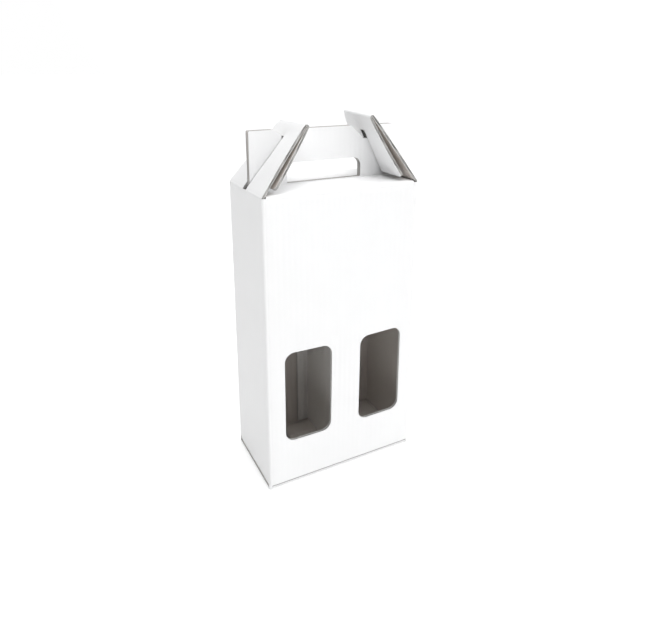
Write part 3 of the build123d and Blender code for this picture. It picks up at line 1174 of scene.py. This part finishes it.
class CARTON_OT_stage(Operator):
    """Add the pale floor, the soft lights and the camera"""

    bl_idname = "carton.stage"
    bl_label = "Stage"

    def add_floor(self, scene, stage):
        """The studio floor, which gives off a little light itself."""
        half = stage.floor_size / 2
        mesh = bpy.data.meshes.new("floor")
        corners = [(-half, -half, 0), (half, -half, 0), (half, half, 0), (-half, half, 0)]
        mesh.from_pydata(corners, [], [(0, 1, 2, 3)])
        floor = bpy.data.objects.new("floor", mesh)
        scene.collection.objects.link(floor)
        pale = bpy.data.materials.new("studio_floor")
        pale.use_nodes = True
        shader = pale.node_tree.nodes["Principled BSDF"]
        shader.inputs["Base Color"].default_value = (*scene.carton_finish.floor, 1.0)
        shader.inputs["Roughness"].default_value = 0.9
        shader.inputs["Emission Color"].default_value = (1.0, 1.0, 1.0, 1.0)
        shader.inputs["Emission Strength"].default_value = stage.floor_glow
        shader.inputs["Specular IOR Level"].default_value = 0.1
        mesh.materials.append(pale)
        floor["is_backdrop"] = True

    def add_room(self, scene, stage):
        """The room, dim low on its left side, which brightens upwards and to the right."""
        world = scene.world or bpy.data.worlds.new("studio")
        scene.world = world
        world.use_nodes = True
        nodes, links = world.node_tree.nodes, world.node_tree.links
        background = nodes["Background"]
        background.inputs["Color"].default_value = (1.0, 1.0, 1.0, 1.0)
        direction = nodes.new("ShaderNodeTexCoord")
        across = nodes.new("ShaderNodeVectorMath")
        across.operation = "DOT_PRODUCT"
        across.inputs[1].default_value = stage.bright_side
        strength = nodes.new("ShaderNodeMapRange")
        strength.inputs["From Min"].default_value = stage.dim_end
        strength.inputs["From Max"].default_value = stage.full_start
        strength.inputs["To Min"].default_value = stage.dim_side
        strength.inputs["To Max"].default_value = stage.surroundings
        links.new(direction.outputs["Generated"], across.inputs[0])
        links.new(across.outputs["Value"], strength.inputs["Value"])
        # The camera itself sees it evenly white
        seen = nodes.new("ShaderNodeLightPath")
        shown = nodes.new("ShaderNodeMath")
        shown.operation = "MAXIMUM"
        links.new(strength.outputs["Result"], shown.inputs[0])
        links.new(seen.outputs["Is Camera Ray"], shown.inputs[1])
        links.new(shown.outputs[0], background.inputs["Strength"])

    def add_light(self, name, place, target, size, power):
        """A soft square light aimed at a point."""
        data = bpy.data.lights.new(name, "AREA")
        data.shape, data.size, data.energy = "SQUARE", size, power
        light = bpy.data.objects.new(name, data)
        light.location = place
        light.rotation_euler = (Vector(place) - Vector(target)).to_track_quat("Z", "Y").to_euler()
        bpy.context.scene.collection.objects.link(light)

    def add_camera(self, scene, stage):
        """The camera, placed and turned as the settings say."""
        data = bpy.data.cameras.new("camera")
        data.lens, data.shift_x, data.shift_y = stage.lens, stage.shift_x, stage.shift_y
        camera = bpy.data.objects.new("camera", data)
        camera.location = stage.camera_place
        turned = Matrix.Rotation(-stage.azimuth, 4, "Z")
        lowered = Matrix.Rotation(math.pi / 2 - stage.elevation, 4, "X")
        tilted = Matrix.Rotation(stage.roll, 4, "Z")
        camera.rotation_euler = (turned @ lowered @ tilted).to_euler()
        scene.collection.objects.link(camera)
        scene.camera = camera

    def execute(self, context):
        scene, stage = context.scene, context.scene.carton_stage
        scene.view_settings.view_transform = "Standard"
        self.add_floor(scene, stage)
        self.add_room(scene, stage)
        self.add_light("key", stage.key_place, stage.light_target, stage.key_size, stage.key_power)
        self.add_light("top", stage.top_place, stage.light_target, stage.top_size, stage.top_power)
        self.add_camera(scene, stage)
        return {"FINISHED"}


class CARTON_PT_sidebar(Panel):
    """Lists the box's pieces and settings"""

    bl_idname = "CARTON_PT_sidebar"
    bl_label = "Shipping box"
    bl_space_type = "VIEW_3D"
    bl_region_type = "UI"
    bl_category = "Shipping Box"

    def draw(self, context):
        for operator in OPERATORS:
            self.layout.operator(operator.bl_idname)
        for name, settings in SETTINGS.items():
            box = self.layout.box()
            box.label(text=settings.__doc__)
            for title in settings.__annotations__:
                box.prop(getattr(context.scene, name), title)


SETTINGS = {
    "carton_board": BoardSettings,
    "carton_box": BoxSettings,
    "carton_handle": HandleSettings,
    "carton_lock_flap": LockFlapSettings,
    "carton_finish": FinishSettings,
    "carton_stage": StageSettings,
}
OPERATORS = (
    CARTON_OT_finishes,
    CARTON_OT_walls,
    CARTON_OT_roof_and_handle,
    CARTON_OT_bottom,
    CARTON_OT_lock_flaps,
    CARTON_OT_hinge_folds,
    CARTON_OT_divider,
    CARTON_OT_stage,
)


def register():
    """Registers the settings, the operators and the panel."""
    for name, settings in SETTINGS.items():
        bpy.utils.register_class(settings)
        setattr(bpy.types.Scene, name, PointerProperty(type=settings))
    for operator in OPERATORS:
        bpy.utils.register_class(operator)
    bpy.utils.register_class(CARTON_PT_sidebar)


def unregister():
    """Takes everything that register added away again."""
    bpy.utils.unregister_class(CARTON_PT_sidebar)
    for operator in reversed(OPERATORS):
        bpy.utils.unregister_class(operator)
    for name, settings in SETTINGS.items():
        delattr(bpy.types.Scene, name)
        bpy.utils.unregister_class(settings)


def main():
    """Builds the box and the stage, and gathers the measured frame's box and the built one."""
    register()
    bpy.ops.carton.finishes()
    bpy.ops.carton.walls()
    bpy.ops.carton.roof_and_handle()
    bpy.ops.carton.bottom()
    bpy.ops.carton.lock_flaps()
    bpy.ops.carton.hinge_folds()
    bpy.ops.carton.divider()
    bpy.ops.carton.stage()
    boxes = {"cad": CAD_BOX, "visual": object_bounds()}
    {name: [list(corner) for corner in box] for name, box in boxes.items()}


if __name__ == "__main__":
    main()
